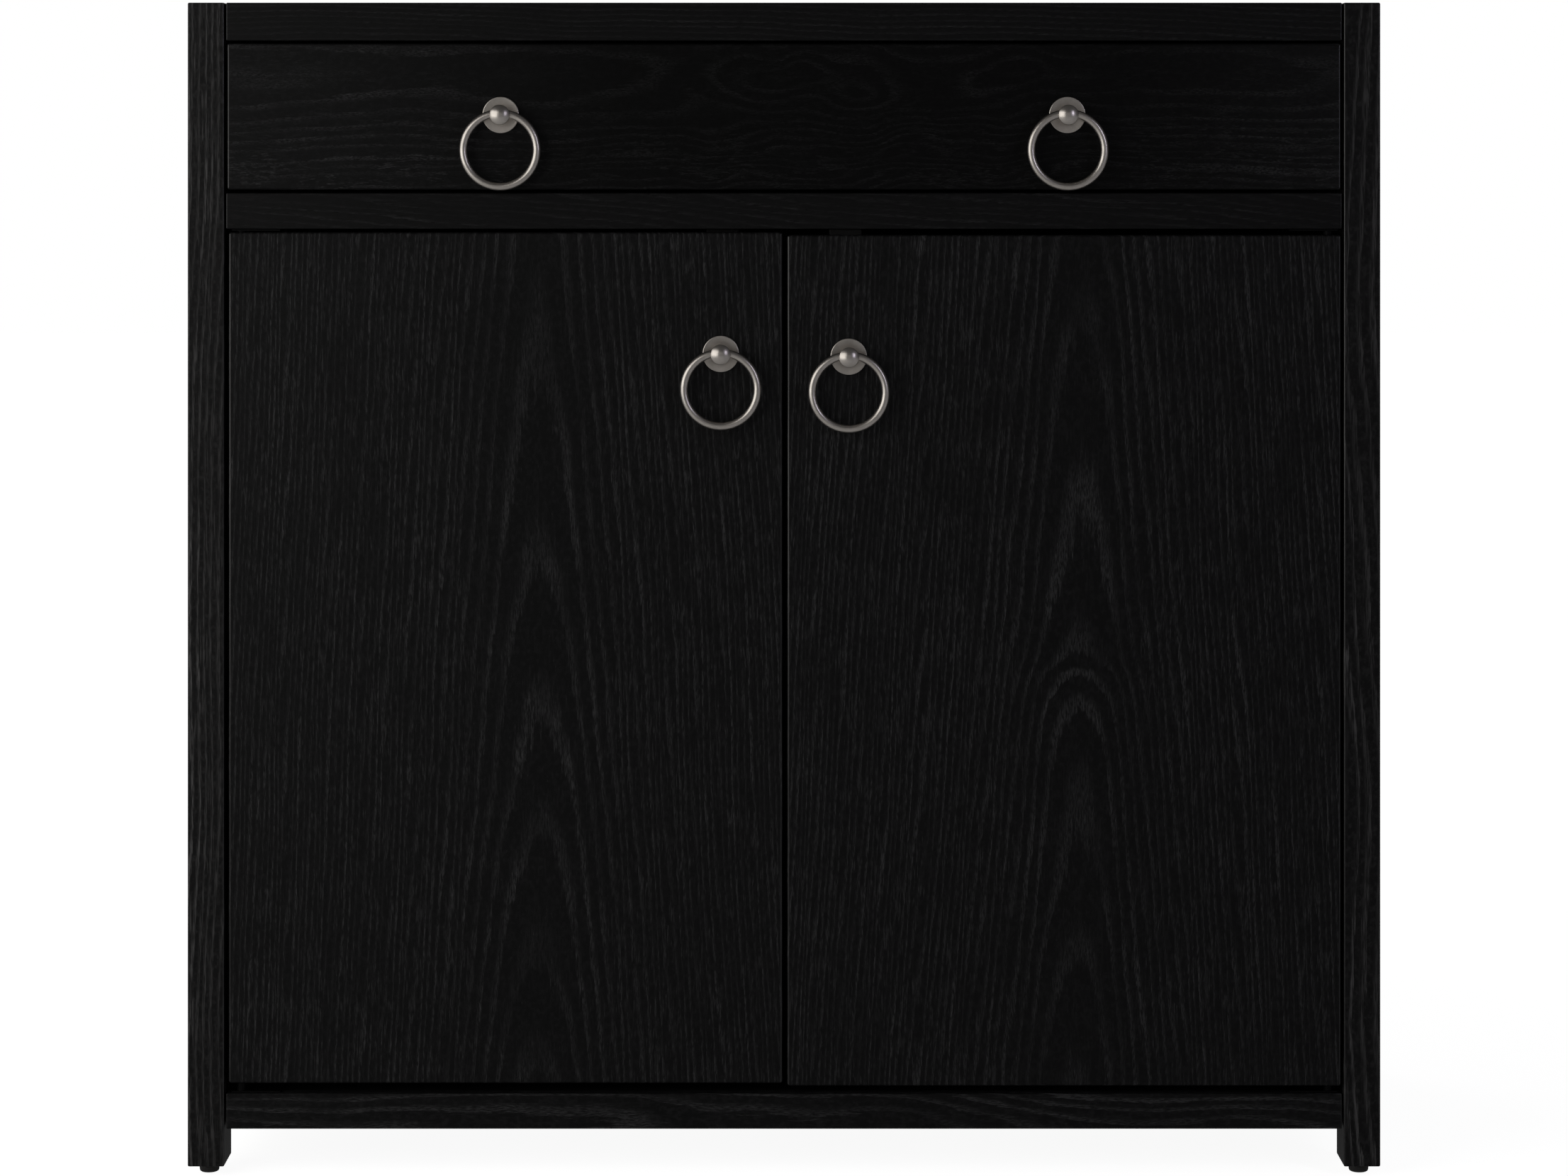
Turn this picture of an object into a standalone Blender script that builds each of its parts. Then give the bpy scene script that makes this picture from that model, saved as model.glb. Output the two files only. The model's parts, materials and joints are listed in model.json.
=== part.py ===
"""A black oak cabinet: one wide drawer above two inset doors, each with ring pulls.

Metres. +X is to the right, +Z up, and the front faces -Y. The origin is on the floor, under the
centre of the whole object's box.
"""

import math

import bmesh
import bpy
from mathutils import Vector

# Overall size
WIDTH = 0.914
HEIGHT = 0.900
CARCASS_DEPTH = 0.381
GAP = 0.0003

# Legs, side panels and the members that run between them
STILE_WIDTH = 0.028
LEG_DEPTH = 0.040
LEG_EASE = 0.0012
BOARD_EASE = 0.0008
DOOR_EASE = 0.0013
FACE_SETBACK = 0.0008
EDGE_SEGMENTS = 2
TOP_THICKNESS = 0.0291
DRAWER_OPENING = 0.1168
MIDDLE_RAIL_HEIGHT = 0.0275
DOOR_OPENING = 0.6627
BOTTOM_RAIL_HEIGHT = 0.0271
RAIL_DEPTH = 0.040
JOINT_REVEAL = 0.0014
PANEL_THICKNESS = 0.018
BACK_THICKNESS = 0.006
BACK_INSET = 0.002

# Foot glides
GLIDE_RADIUS = 0.0078
GLIDE_HEIGHT = 0.008
GLIDE_NAIL_RADIUS = 0.0015
GLIDE_NAIL_LENGTH = 0.014

# Adjustable shelf
SHELF_ABOVE_FLOOR = 0.318
SHELF_FRONT_SETBACK = 0.045
SHELF_SIDE_CLEARANCE = 0.0018
PIN_RADIUS = 0.0024
PIN_COLLAR_RADIUS = 0.0042
PIN_COLLAR_THICKNESS = 0.0012
PIN_DEPTH = 0.009
PIN_REACH = 0.011
PIN_INSET = 0.060
PIN_ROW_SPACING = 0.032
PIN_ROWS = 5
PIN_ROWS_BELOW_SHELF = 2

# Drawer
DRAWER_FRONT_WIDTH = 0.854
DRAWER_FRONT_HEIGHT = 0.1122
DRAWER_GAP_ABOVE = 0.0021
FRONT_THICKNESS = 0.019
DRAWER_BOX_LENGTH = 0.320
DRAWER_BOX_HEIGHT = 0.086
DRAWER_BOX_RISE = 0.012
DRAWER_WALL = 0.012
DRAWER_BOTTOM_THICKNESS = 0.006
DRAWER_BOTTOM_RISE = 0.010
DRAWER_GROOVE_DEPTH = 0.006

# Drawer slides: distances inward from the side panel, and the half height of each channel
SLIDE_LENGTH = 0.300
SLIDE_SETBACK = 0.002
SLIDE_STANDOFF = 0.0126
SLIDE_GAUGE = 0.0012
CABINET_CHANNEL = (0.0, 0.0095, 0.0225)
MIDDLE_CHANNEL = (0.0022, 0.0105, 0.0175)
DRAWER_CHANNEL = (0.0126, 0.0050, 0.0125)

# Doors
DOOR_WIDTH = 0.4246
DOOR_HEIGHT = 0.6521
DOOR_SIDE_GAP = {"left": 0.0032, "right": 0.0020}
DOOR_GAP_ABOVE = {"left": 0.0027, "right": 0.0048}

# Pivot hinges
PIVOT_FROM_EDGE = 0.0095
PIVOT_FROM_FACE = 0.006
PIVOT_PIN_RADIUS = 0.0025
PIVOT_SHOULDER_RADIUS = 0.0035
PIVOT_PIN_ENTRY = 0.008
BUSH_BORE_RADIUS = 0.0028
BUSH_RADIUS = 0.0038
BUSH_LENGTH = 0.010
PLATE_THICKNESS = 0.0012
PLATE_OUTWARD = 0.0072
PLATE_INWARD = 0.0300
PLATE_FORWARD = 0.0040
PLATE_BACKWARD = 0.0080

# Magnetic catches
CATCH_SIZE = (0.025, 0.014, 0.012)
CATCH_FROM_CENTRE = 0.0475
CATCH_DOOR_CLEARANCE = 0.001
CATCH_EASE = 0.001

# Ring pulls: heights are measured out from the face that the pull is fixed to
ROSETTE_RADIUS = 0.014
ROSETTE_THICKNESS = 0.0020
ROSETTE_RIM = 0.0006
COLLAR_RADIUS = 0.0070
COLLAR_THICKNESS = 0.0018
NECK_RADIUS = 0.0062
HEAD_RADIUS = 0.0077
HEAD_START = 0.0142
HEAD_WIDEST = 0.0160
PULL_PROJECTION = 0.0186
DOME_POINTS = 5
RING_HOLE_RADIUS = 0.0040
RING_HOLE_HEIGHT = 0.0098
RING_HOLE_RISE = 0.0009
RING_RADIUS = 0.0281
RING_WIRE_RADIUS = 0.00305
RING_REST_DROP = 0.0004
SHANK_RADIUS = 0.0020
SHANK_HOLE_RADIUS = 0.0025
SHANK_BEYOND_FACE = 0.0045
NUT_RADIUS = 0.0044
NUT_THICKNESS = 0.0032
NUT_BORE_RADIUS = 0.0023
DRAWER_PULL_X = 0.217
DRAWER_PULL_BELOW_TOP = 0.0861
DOOR_PULL_FROM_EDGE = 0.0472
DOOR_PULL_BELOW_DOOR_TOP = 0.093

# Roundness
TURN_STEPS = 20
BORE_STEPS = 14
RING_STEPS = 40
WIRE_STEPS = 10
SMOOTH_ANGLE = math.radians(35)
MERGE_DISTANCE = 1e-6
CUTTER_EXTRA = 0.002

# Places that follow from the sizes above
HALF_WIDTH = WIDTH / 2
INNER_X = HALF_WIDTH - STILE_WIDTH
FRONT_Y = -(CARCASS_DEPTH + FACE_SETBACK - PULL_PROJECTION) / 2
BACK_Y = FRONT_Y + CARCASS_DEPTH
FACE_Y = FRONT_Y + FACE_SETBACK
FRONT_BACK_Y = FACE_Y + FRONT_THICKNESS
BACK_PANEL_Y = BACK_Y - BACK_INSET - BACK_THICKNESS
TOP_UNDERSIDE = HEIGHT - TOP_THICKNESS
MIDDLE_RAIL_TOP = TOP_UNDERSIDE - DRAWER_OPENING
MIDDLE_RAIL_UNDERSIDE = MIDDLE_RAIL_TOP - MIDDLE_RAIL_HEIGHT
BOTTOM_RAIL_TOP = MIDDLE_RAIL_UNDERSIDE - DOOR_OPENING
BOTTOM_RAIL_UNDERSIDE = BOTTOM_RAIL_TOP - BOTTOM_RAIL_HEIGHT
DRAWER_FRONT_TOP = TOP_UNDERSIDE - DRAWER_GAP_ABOVE
DRAWER_FRONT_BOTTOM = DRAWER_FRONT_TOP - DRAWER_FRONT_HEIGHT
DRAWER_BOX_BOTTOM = DRAWER_FRONT_BOTTOM + DRAWER_BOX_RISE
DRAWER_BOX_TOP = DRAWER_BOX_BOTTOM + DRAWER_BOX_HEIGHT
DRAWER_OUTER_X = INNER_X - SLIDE_STANDOFF - 2 * GAP
SLIDE_Z = (DRAWER_BOX_BOTTOM + DRAWER_BOX_TOP) / 2
SLIDE_FRONT_Y = FRONT_BACK_Y + SLIDE_SETBACK
SHELF_UNDERSIDE = BOTTOM_RAIL_TOP + SHELF_ABOVE_FLOOR
SHELF_PIN_Z = SHELF_UNDERSIDE - GAP - PIN_RADIUS
SHELF_PIN_YS = {"front": FRONT_Y + PIN_INSET, "rear": BACK_PANEL_Y - PIN_INSET}

SIDES = {"left": -1, "right": 1}
FACING_FRONT = (math.radians(90), 0, 0)
FACING_SIDEWAYS = (0, math.radians(90), 0)

# Colour, roughness and metallic value of each kind of material
FINISHES = {
    "black_oak": ((0.012, 0.011, 0.010), 0.48, 0.0),
    "drawer_box": ((0.030, 0.026, 0.022), 0.60, 0.0),
    "nickel": ((0.66, 0.64, 0.60), 0.28, 1.0),
    "steel": ((0.45, 0.45, 0.46), 0.35, 1.0),
    "black_steel": ((0.03, 0.03, 0.03), 0.40, 0.8),
    "plastic": ((0.05, 0.05, 0.05), 0.55, 0.0),
}


def clear_scene():
    for obj in list(bpy.data.objects):
        bpy.data.objects.remove(obj)


def new_material(name, kind):
    colour, roughness, metallic = FINISHES[kind]
    material = bpy.data.materials.new(f"{name}_{kind}")
    material.use_nodes = True
    shader = material.node_tree.nodes["Principled BSDF"]
    shader.inputs["Base Color"].default_value = (*colour, 1.0)
    shader.inputs["Roughness"].default_value = roughness
    shader.inputs["Metallic"].default_value = metallic
    return material


def add_object(name, bm, location, rotation=(0, 0, 0), parent=None):
    """Links the mesh as an object. location is a place in the world, also under a parent."""
    bmesh.ops.recalc_face_normals(bm, faces=bm.faces)
    mesh = bpy.data.meshes.new(name)
    bm.to_mesh(mesh)
    bm.free()
    obj = bpy.data.objects.new(name, mesh)
    bpy.context.scene.collection.objects.link(obj)
    obj.rotation_euler = rotation
    obj.location = Vector(location)
    if parent:
        obj.parent = parent
        obj.location -= parent.location
    return obj


def finish(obj, kind, smooth=False):
    obj.data.materials.append(new_material(obj.name, kind))
    if smooth:
        obj.data.shade_smooth()
        obj.data.set_sharp_from_angle(angle=SMOOTH_ANGLE)
    return obj


def add_axis(name, location):
    """An empty on a joint's axis, which carries the pieces that move about it."""
    axis = bpy.data.objects.new(name, None)
    axis.location = location
    bpy.context.scene.collection.objects.link(axis)
    return axis


def as_cutter(obj):
    obj.hide_render = True
    obj.display_type = "WIRE"
    return obj


def combine(obj, other, operation):
    modifier = obj.modifiers.new(other.name, "BOOLEAN")
    modifier.object = other
    modifier.operation = operation
    modifier.solver = "EXACT"


def cut(obj, *cutters):
    for cutter in cutters:
        combine(obj, cutter, "DIFFERENCE")


def box_mesh(low, high):
    bm = bmesh.new()
    bmesh.ops.create_cube(bm, size=1.0)
    bmesh.ops.scale(bm, vec=Vector(high) - Vector(low), verts=bm.verts)
    return bm


def block(name, low, high, parent=None):
    """A plain box between two corners, with its origin at its centre."""
    centre = (Vector(low) + Vector(high)) / 2
    return add_object(name, box_mesh(low, high), centre, parent=parent)


def board(name, low, high, kind="black_oak", ease=BOARD_EASE, parent=None):
    """A board between two corners, with its edges eased."""
    obj = finish(block(name, low, high, parent), kind)
    bevel = obj.modifiers.new("ease", "BEVEL")
    bevel.width = ease
    bevel.segments = EDGE_SEGMENTS
    return obj


def turned_mesh(profile, steps=TURN_STEPS, closed=False):
    """Spins a profile of (radius, height) points about Z."""
    bm = bmesh.new()
    points = [bm.verts.new((radius, 0, height)) for radius, height in profile]
    edges = [bm.edges.new(pair) for pair in zip(points, points[1:])]
    if closed:
        edges.append(bm.edges.new((points[-1], points[0])))
    bmesh.ops.spin(
        bm,
        geom=points + edges,
        cent=(0, 0, 0),
        axis=(0, 0, 1),
        angle=2 * math.pi,
        steps=steps,
        use_merge=True,
    )
    bmesh.ops.remove_doubles(bm, verts=bm.verts, dist=MERGE_DISTANCE)
    return bm


def rod_profile(radius, low, high):
    return [(0, low), (radius, low), (radius, high), (0, high)]


def rod_cutter(name, centre, radius, length, rotation=(0, 0, 0), parent=None):
    bm = turned_mesh(rod_profile(radius, -length / 2, length / 2), BORE_STEPS)
    return as_cutter(add_object(name, bm, centre, rotation, parent))


def repeat(obj, count, offset):
    """Repeats a cutter along a line."""
    array = obj.modifiers.new("repeat", "ARRAY")
    array.count = count
    array.use_relative_offset = False
    array.use_constant_offset = True
    array.constant_offset_displace = offset


def add_legs():
    for side, sign in SIDES.items():
        outer, inner = sorted((sign * HALF_WIDTH, sign * INNER_X))
        ends = {"front": (FRONT_Y, FRONT_Y + LEG_DEPTH), "rear": (BACK_Y - LEG_DEPTH, BACK_Y)}
        for end, (front, back) in ends.items():
            low, high = (outer, front, GLIDE_HEIGHT), (inner, back, HEIGHT)
            leg = board(f"{end}_{side}_leg", low, high, ease=LEG_EASE)
            foot = ((outer + inner) / 2, (front + back) / 2, GLIDE_HEIGHT)
            name = f"{end}_{side}"
            hole_length = 2 * (GLIDE_NAIL_LENGTH + CUTTER_EXTRA)
            nail_hole = GLIDE_NAIL_RADIUS + GAP
            cut(leg, rod_cutter(f"{name}_glide_hole", foot, nail_hole, hole_length))
            add_glide(f"foot_glide_{name}", foot)


def add_glide(name, foot):
    """A tap-in glide: a rounded puck with a nail above it."""
    edge = GLIDE_HEIGHT * 0.3
    top = GLIDE_HEIGHT - GAP
    profile = [
        (0, 0),
        (GLIDE_RADIUS - edge, 0),
        (GLIDE_RADIUS - edge * 0.3, edge * 0.3),
        (GLIDE_RADIUS, edge),
        (GLIDE_RADIUS, top),
        (GLIDE_NAIL_RADIUS, top),
        (GLIDE_NAIL_RADIUS, GLIDE_HEIGHT + GLIDE_NAIL_LENGTH),
        (0, GLIDE_HEIGHT + GLIDE_NAIL_LENGTH),
    ]
    finish(add_object(name, turned_mesh(profile), (foot[0], foot[1], 0)), "plastic", True)


def add_side_panels():
    pin_rows_z = SHELF_PIN_Z - PIN_ROWS_BELOW_SHELF * PIN_ROW_SPACING
    pin_columns = SHELF_PIN_YS["rear"] - SHELF_PIN_YS["front"]
    for side, sign in SIDES.items():
        outer, inner = sorted((sign * HALF_WIDTH, sign * INNER_X))
        low = (outer, FRONT_Y + LEG_DEPTH + GAP, BOTTOM_RAIL_UNDERSIDE)
        high = (inner, BACK_Y - LEG_DEPTH - GAP, HEIGHT)
        panel = board(f"{side}_side_panel", low, high)
        start = (sign * INNER_X, SHELF_PIN_YS["front"], pin_rows_z)
        length = 2 * (PIN_DEPTH + CUTTER_EXTRA)
        holes = rod_cutter(f"{side}_shelf_holes", start, PIN_RADIUS + GAP, length, FACING_SIDEWAYS)
        repeat(holes, PIN_ROWS, (-PIN_ROW_SPACING, 0, 0))
        repeat(holes, 2, (0, pin_columns, 0))
        cut(panel, holes)


def add_carcass():
    span = INNER_X - GAP
    framed = INNER_X - JOINT_REVEAL
    inside_back = BACK_PANEL_Y - GAP
    rail_back = FACE_Y + RAIL_DEPTH
    board("top_panel", (-framed, FACE_Y, TOP_UNDERSIDE), (framed, BACK_Y, HEIGHT))
    board(
        "middle_rail",
        (-framed, FACE_Y, MIDDLE_RAIL_UNDERSIDE),
        (framed, rail_back, MIDDLE_RAIL_TOP),
    )
    board(
        "bottom_rail",
        (-framed, FACE_Y, BOTTOM_RAIL_UNDERSIDE),
        (framed, rail_back, BOTTOM_RAIL_TOP),
    )
    board(
        "drawer_divider",
        (-span, rail_back + GAP, MIDDLE_RAIL_UNDERSIDE),
        (span, inside_back, MIDDLE_RAIL_UNDERSIDE + PANEL_THICKNESS),
    )
    board(
        "cabinet_floor",
        (-span, rail_back + GAP, BOTTOM_RAIL_TOP - PANEL_THICKNESS),
        (span, inside_back, BOTTOM_RAIL_TOP),
    )
    board(
        "back_panel",
        (-span, BACK_PANEL_Y, BOTTOM_RAIL_TOP - PANEL_THICKNESS),
        (span, BACK_PANEL_Y + BACK_THICKNESS, TOP_UNDERSIDE - GAP),
    )


def add_shelf():
    shelf_x = INNER_X - SHELF_SIDE_CLEARANCE
    low = (-shelf_x, FRONT_Y + SHELF_FRONT_SETBACK, SHELF_UNDERSIDE)
    high = (shelf_x, BACK_PANEL_Y - SHELF_SIDE_CLEARANCE, SHELF_UNDERSIDE + PANEL_THICKNESS)
    board("adjustable_shelf", low, high)
    for end, y in SHELF_PIN_YS.items():
        for side, sign in SIDES.items():
            add_shelf_pin(f"shelf_pin_{end}_{side}", sign, y)


def add_shelf_pin(name, sign, y):
    """A turned pin along X. Its collar rests against the side panel, clear of the shelf's end."""
    collar_end = GAP + PIN_COLLAR_THICKNESS
    profile = [
        (0, -PIN_DEPTH),
        (PIN_RADIUS, -PIN_DEPTH),
        (PIN_RADIUS, GAP),
        (PIN_COLLAR_RADIUS, GAP),
        (PIN_COLLAR_RADIUS, collar_end),
        (PIN_RADIUS, collar_end),
        (PIN_RADIUS, PIN_REACH),
        (0, PIN_REACH),
    ]
    turn = (0, -sign * math.radians(90), 0)
    bm = turned_mesh(profile, BORE_STEPS)
    finish(add_object(name, bm, (sign * INNER_X, y, SHELF_PIN_Z), turn), "steel", True)


def add_drawer():
    """The drawer's pieces ride on one empty, because they slide along Y together."""
    axis = add_axis("drawer_axis", (0, FACE_Y, SLIDE_Z))
    half_front = DRAWER_FRONT_WIDTH / 2
    front = board(
        "drawer_front",
        (-half_front, FACE_Y, DRAWER_FRONT_BOTTOM),
        (half_front, FRONT_BACK_Y, DRAWER_FRONT_TOP),
        ease=DOOR_EASE,
        parent=axis,
    )
    box_front = FRONT_BACK_Y + GAP
    box_back = box_front + DRAWER_BOX_LENGTH
    inner_x = DRAWER_OUTER_X - DRAWER_WALL
    bottom_x = inner_x + DRAWER_GROOVE_DEPTH
    bottom_low = (-bottom_x, FRONT_BACK_Y - DRAWER_GROOVE_DEPTH, DRAWER_BOX_BOTTOM + DRAWER_BOTTOM_RISE)
    bottom_high = (bottom_x, box_back, bottom_low[2] + DRAWER_BOTTOM_THICKNESS)
    board("drawer_bottom", bottom_low, bottom_high, "drawer_box", parent=axis)
    clearance = Vector((GAP, GAP, GAP))
    past_back = Vector((0, CUTTER_EXTRA, 0))
    groove = as_cutter(
        block(
            "drawer_groove",
            Vector(bottom_low) - clearance,
            Vector(bottom_high) + clearance + past_back,
            axis,
        )
    )
    cut(front, groove)
    for side, sign in SIDES.items():
        left, right = sorted((sign * DRAWER_OUTER_X, sign * inner_x))
        low = (left, box_front, DRAWER_BOX_BOTTOM)
        high = (right, box_back, DRAWER_BOX_TOP)
        cut(board(f"drawer_{side}_side", low, high, "drawer_box", parent=axis), groove)
        add_pull(f"drawer_{side}", front, sign * DRAWER_PULL_X, HEIGHT - DRAWER_PULL_BELOW_TOP, axis)
    back_x = inner_x - GAP
    board(
        "drawer_back",
        (-back_x, box_back - DRAWER_WALL, bottom_high[2] + GAP),
        (back_x, box_back, DRAWER_BOX_TOP),
        "drawer_box",
        parent=axis,
    )
    return axis


def channel_mesh(sign, web, lips, half_height):
    """A C section, extruded along Y. web and lips are distances inward from the side panel."""
    gauge = SLIDE_GAUGE if lips > web else -SLIDE_GAUGE
    inner_half = half_height - SLIDE_GAUGE
    outline = [
        (web, -half_height),
        (lips, -half_height),
        (lips, -inner_half),
        (web + gauge, -inner_half),
        (web + gauge, inner_half),
        (lips, inner_half),
        (lips, half_height),
        (web, half_height),
    ]
    bm = bmesh.new()
    section = bm.faces.new([bm.verts.new((-sign * x, 0, z)) for x, z in outline])
    grown = bmesh.ops.extrude_face_region(bm, geom=[section])["geom"]
    moved = [part for part in grown if isinstance(part, bmesh.types.BMVert)]
    bmesh.ops.translate(bm, vec=(0, SLIDE_LENGTH, 0), verts=moved)
    return bm


def add_slides(drawer_axis):
    channels = {
        "cabinet": (CABINET_CHANNEL, None),
        "middle": (MIDDLE_CHANNEL, None),
        "drawer": (DRAWER_CHANNEL, drawer_axis),
    }
    for side, sign in SIDES.items():
        wall = (sign * (INNER_X - GAP), SLIDE_FRONT_Y, SLIDE_Z)
        for member, (channel, parent) in channels.items():
            name = f"{side}_slide_{member}_member"
            bm = channel_mesh(sign, *channel)
            finish(add_object(name, bm, wall, parent=parent), "steel")


def ring_mesh():
    """A ring of round wire that hangs from the origin, which is the middle of its hole."""
    centre = Vector((0, 0, -RING_RADIUS + RING_REST_DROP))
    bm = bmesh.new()
    wire = [
        bm.verts.new(
            centre
            + Vector((0, math.sin(turn), 0)) * RING_WIRE_RADIUS
            + Vector((0, 0, RING_RADIUS + math.cos(turn) * RING_WIRE_RADIUS))
        )
        for turn in (2 * math.pi * step / WIRE_STEPS for step in range(WIRE_STEPS))
    ]
    edges = [bm.edges.new((wire[i - 1], wire[i])) for i in range(WIRE_STEPS)]
    bmesh.ops.spin(
        bm,
        geom=wire + edges,
        cent=centre,
        axis=(0, 1, 0),
        angle=2 * math.pi,
        steps=RING_STEPS,
        use_merge=True,
    )
    return bm


def stud_mesh():
    """The post that holds the ring: threaded shank, collar, neck and low domed head."""
    base = ROSETTE_THICKNESS + 2 * GAP
    dome_height = PULL_PROJECTION - HEAD_WIDEST
    steps = [math.pi / 2 * step / DOME_POINTS for step in range(DOME_POINTS + 1)]
    dome = [(HEAD_RADIUS * math.cos(t), HEAD_WIDEST + dome_height * math.sin(t)) for t in steps[:-1]]
    profile = [
        (0, -FRONT_THICKNESS - SHANK_BEYOND_FACE),
        (SHANK_RADIUS, -FRONT_THICKNESS - SHANK_BEYOND_FACE),
        (SHANK_RADIUS, base),
        (COLLAR_RADIUS, base),
        (COLLAR_RADIUS, base + COLLAR_THICKNESS),
        (NECK_RADIUS, base + COLLAR_THICKNESS),
        (NECK_RADIUS, HEAD_START),
        (HEAD_RADIUS, HEAD_START),
        *dome,
        (0, PULL_PROJECTION),
    ]
    return turned_mesh(profile)


def rosette_mesh():
    low, high = GAP, GAP + ROSETTE_THICKNESS
    profile = [
        (SHANK_HOLE_RADIUS, low),
        (ROSETTE_RADIUS, low),
        (ROSETTE_RADIUS, high - ROSETTE_RIM),
        (ROSETTE_RADIUS - ROSETTE_RIM, high),
        (SHANK_HOLE_RADIUS, high),
    ]
    return turned_mesh(profile, closed=True)


def add_pull(name, panel, x, z, axis):
    """A ring pull on the panel's face, which it is fixed to by a shank and a nut."""
    face = (x, FACE_Y, z)
    finish(add_object(f"{name}_pull_rosette", rosette_mesh(), face, FACING_FRONT, axis), "nickel", True)
    stud = add_object(f"{name}_pull_stud", stud_mesh(), face, FACING_FRONT, axis)
    finish(stud, "nickel", True)
    hole = (x, FACE_Y - RING_HOLE_HEIGHT, z + RING_HOLE_RISE)
    across = 2 * (HEAD_RADIUS + CUTTER_EXTRA)
    ring_hole = rod_cutter(f"{name}_ring_hole", hole, RING_HOLE_RADIUS, across, FACING_SIDEWAYS, axis)
    cut(stud, ring_hole)
    ring = add_object(f"{name}_pull_ring", ring_mesh(), hole, parent=axis)
    finish(ring, "nickel", True)

    middle = (x, FACE_Y + FRONT_THICKNESS / 2, z)
    through = FRONT_THICKNESS + 2 * CUTTER_EXTRA
    cut(panel, rod_cutter(f"{name}_shank_hole", middle, SHANK_HOLE_RADIUS, through, FACING_FRONT, axis))
    nut_place = (x, FRONT_BACK_Y + GAP, z)
    nut_mesh = turned_mesh(rod_profile(NUT_RADIUS, -NUT_THICKNESS, 0), steps=6)
    nut = finish(add_object(f"{name}_pull_nut", nut_mesh, nut_place, FACING_FRONT, axis), "steel")
    length = 2 * (NUT_THICKNESS + CUTTER_EXTRA)
    cut(nut, rod_cutter(f"{name}_nut_bore", nut_place, NUT_BORE_RADIUS, length, FACING_FRONT, axis))


def plate_box(sign, pivot, low_z, high_z, clearance=0.0):
    """The corners of a hinge plate: it reaches further towards the door's middle than outward."""
    x, y = pivot
    outward = x + sign * (PLATE_OUTWARD + clearance)
    inward = x - sign * (PLATE_INWARD + clearance)
    low_x, high_x = sorted((outward, inward))
    low_z, high_z = sorted((low_z, high_z))
    low = (low_x, y - PLATE_FORWARD - clearance, low_z - clearance)
    return low, (high_x, y + PLATE_BACKWARD + clearance, high_z + clearance)


def add_pivot(name, sign, pivot, rail_z, door_z):
    """The carcass half of a hinge: a plate on the rail, with a shouldered pin into the door."""
    towards = 1 if door_z > rail_z else -1
    plate_z = rail_z + towards * GAP
    plate_end = plate_z + towards * PLATE_THICKNESS
    plate = finish(block(name, *plate_box(sign, pivot, plate_z, plate_end)), "black_steel")
    shoulder_end = abs(door_z - rail_z) - GAP
    tip = abs(door_z - rail_z) + PIVOT_PIN_ENTRY
    root = GAP + PLATE_THICKNESS / 2
    profile = [
        (0, root),
        (PIVOT_SHOULDER_RADIUS, root),
        (PIVOT_SHOULDER_RADIUS, shoulder_end),
        (PIVOT_PIN_RADIUS, shoulder_end),
        (PIVOT_PIN_RADIUS, tip),
        (0, tip),
    ]
    turn = (0, 0, 0) if towards > 0 else (math.radians(180), 0, 0)
    bm = turned_mesh(profile, BORE_STEPS)
    pin = as_cutter(add_object(f"{name}_pin", bm, (*pivot, rail_z), turn))
    combine(plate, pin, "UNION")


def add_bush(name, sign, pivot, door, door_z, towards, axis):
    """The door half of a hinge: a plate let into the door's edge, with a bush for the pin."""
    plate_end = door_z + towards * PLATE_THICKNESS
    plate = block(name, *plate_box(sign, pivot, door_z, plate_end), axis)
    finish(plate, "black_steel")
    recess = as_cutter(block(f"{name}_recess", *plate_box(sign, pivot, door_z, plate_end, GAP), axis))
    root = door_z + towards * PLATE_THICKNESS / 2
    tube_length = BUSH_LENGTH - PLATE_THICKNESS / 2
    tube_middle = (*pivot, root + towards * tube_length / 2)
    tube = rod_cutter(f"{name}_tube", tube_middle, BUSH_RADIUS, tube_length, parent=axis)
    combine(plate, tube, "UNION")
    edge = (*pivot, door_z)
    bore_length = 2 * (BUSH_LENGTH + CUTTER_EXTRA)
    cut(plate, rod_cutter(f"{name}_bore", edge, BUSH_BORE_RADIUS, bore_length, parent=axis))
    pocket = rod_cutter(f"{name}_pocket", edge, BUSH_RADIUS + GAP, bore_length, parent=axis)
    cut(door, recess, pocket)


def add_door(side):
    sign = SIDES[side]
    outer = sign * (INNER_X - DOOR_SIDE_GAP[side])
    inner = outer - sign * DOOR_WIDTH
    top = MIDDLE_RAIL_UNDERSIDE - DOOR_GAP_ABOVE[side]
    bottom = top - DOOR_HEIGHT
    pivot = (outer - sign * PIVOT_FROM_EDGE, FACE_Y + PIVOT_FROM_FACE)
    axis = add_axis(f"{side}_door_axis", (*pivot, bottom))
    low_x, high_x = sorted((outer, inner))
    low, high = (low_x, FACE_Y, bottom), (high_x, FRONT_BACK_Y, top)
    door = board(f"{side}_door", low, high, ease=DOOR_EASE, parent=axis)
    add_pull(
        f"{side}_door",
        door,
        inner + sign * DOOR_PULL_FROM_EDGE,
        top - DOOR_PULL_BELOW_DOOR_TOP,
        axis,
    )
    add_pivot(f"{side}_door_top_pivot", sign, pivot, MIDDLE_RAIL_UNDERSIDE, top)
    add_pivot(f"{side}_door_bottom_pivot", sign, pivot, BOTTOM_RAIL_TOP, bottom)
    add_bush(f"{side}_door_top_bush", sign, pivot, door, top, -1, axis)
    add_bush(f"{side}_door_bottom_bush", sign, pivot, door, bottom, 1, axis)


def add_catches():
    width, depth, height = CATCH_SIZE
    top = MIDDLE_RAIL_UNDERSIDE - GAP
    front = FRONT_BACK_Y + CATCH_DOOR_CLEARANCE
    for side, sign in SIDES.items():
        x = sign * CATCH_FROM_CENTRE
        low = (x - width / 2, front, top - height)
        high = (x + width / 2, front + depth, top)
        board(f"{side}_magnetic_catch", low, high, "plastic", CATCH_EASE)


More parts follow.
